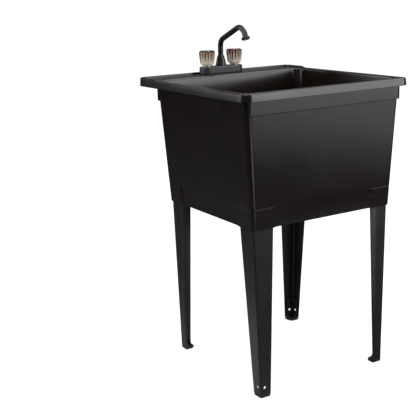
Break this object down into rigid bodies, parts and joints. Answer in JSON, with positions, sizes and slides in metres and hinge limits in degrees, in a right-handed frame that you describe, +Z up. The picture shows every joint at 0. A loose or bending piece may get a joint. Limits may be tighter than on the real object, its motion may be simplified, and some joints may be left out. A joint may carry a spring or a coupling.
{
  "type": "utility laundry sink",
  "caption": "Free-standing laundry tub on splayed angle legs, with a deck faucet, fluted clear knobs, a swivel spout and a bottom waste with a stopper.",
  "frame": {"origin": "on the floor under the middle of the rim, at the centre of the bounding box's base", "axes": "+Z up, +X to the sink's right as seen from its front, the front faces -Y and the deck with the faucet is at +Y"},
  "size_m": [0.571, 0.587, 1.0117],
  "materials": {
    "tub_plastic": "satin moulded",
    "leg_coat": "satin powder coat",
    "foot_coat": "satin powder coat",
    "faucet_plastic": "fine texture",
    "spout_coat": "satin",
    "smoky_acrylic": "clear moulded",
    "cream_plastic": "moulded",
    "pink_plastic": "moulded",
    "brass": "machined",
    "steel": "brushed",
    "rubber": "moulded",
    "white_plastic": "moulded"
  },
  "bodies": {
    "base": {"tub": "tub_plastic", "leg_front_left": "leg_coat", "leg_front_right": "leg_coat", "leg_rear_left": "leg_coat", "leg_rear_right": "leg_coat", "foot_front_left": "foot_coat", "foot_front_right": "foot_coat", "foot_rear_left": "foot_coat", "foot_rear_right": "foot_coat", "faucet_body": "faucet_plastic", "faucet_gasket": "rubber", "spout_collar": "spout_coat", "hot_shank": "brass", "hot_locknut": "white_plastic", "hot_bonnet_nut": "brass", "hot_seat_washer": "rubber", "cold_shank": "brass", "cold_locknut": "white_plastic", "cold_bonnet_nut": "brass", "cold_seat_washer": "rubber", "drain_flange": "steel", "drain_strainer": "steel", "drain_gasket": "rubber", "drain_washer": "white_plastic", "drain_locknut": "white_plastic", "tailpiece": "white_plastic", "slip_washer": "rubber", "slip_nut": "white_plastic"},
    "spout": {"spout_tube": "spout_coat", "spout_oring": "rubber", "spout_tip": "spout_coat", "aerator_insert": "white_plastic"},
    "hot_handle": {"hot_valve_stem": "brass", "hot_handle_screw": "brass", "hot_knob_core": "cream_plastic", "hot_knob_cap": "pink_plastic", "hot_knob": "smoky_acrylic"},
    "cold_handle": {"cold_valve_stem": "brass", "cold_handle_screw": "brass", "cold_knob_core": "cream_plastic", "cold_knob_cap": "pink_plastic", "cold_knob": "smoky_acrylic"},
    "stopper": {"stopper": "rubber"}
  },
  "joints": [
    {"name": "spout_swivel", "type": "hinge", "parent": "base", "child": "spout", "pos_m": [0, 0.2597, 0.9], "axis": [0, 0, 1], "continuous": true},
    {"name": "hot_turn", "type": "hinge", "parent": "base", "child": "hot_handle", "pos_m": [-0.0508, 0.2597, 0.91], "axis": [0, 0, 1], "range_deg": [0, 90]},
    {"name": "cold_turn", "type": "hinge", "parent": "base", "child": "cold_handle", "pos_m": [0.0508, 0.2597, 0.91], "axis": [0, 0, 1], "range_deg": [-90, 0]},
    {"name": "stopper_lift", "type": "slide", "parent": "base", "child": "stopper", "axis": [0, 0, 1], "range_m": [0, 0.35]}
  ]
}
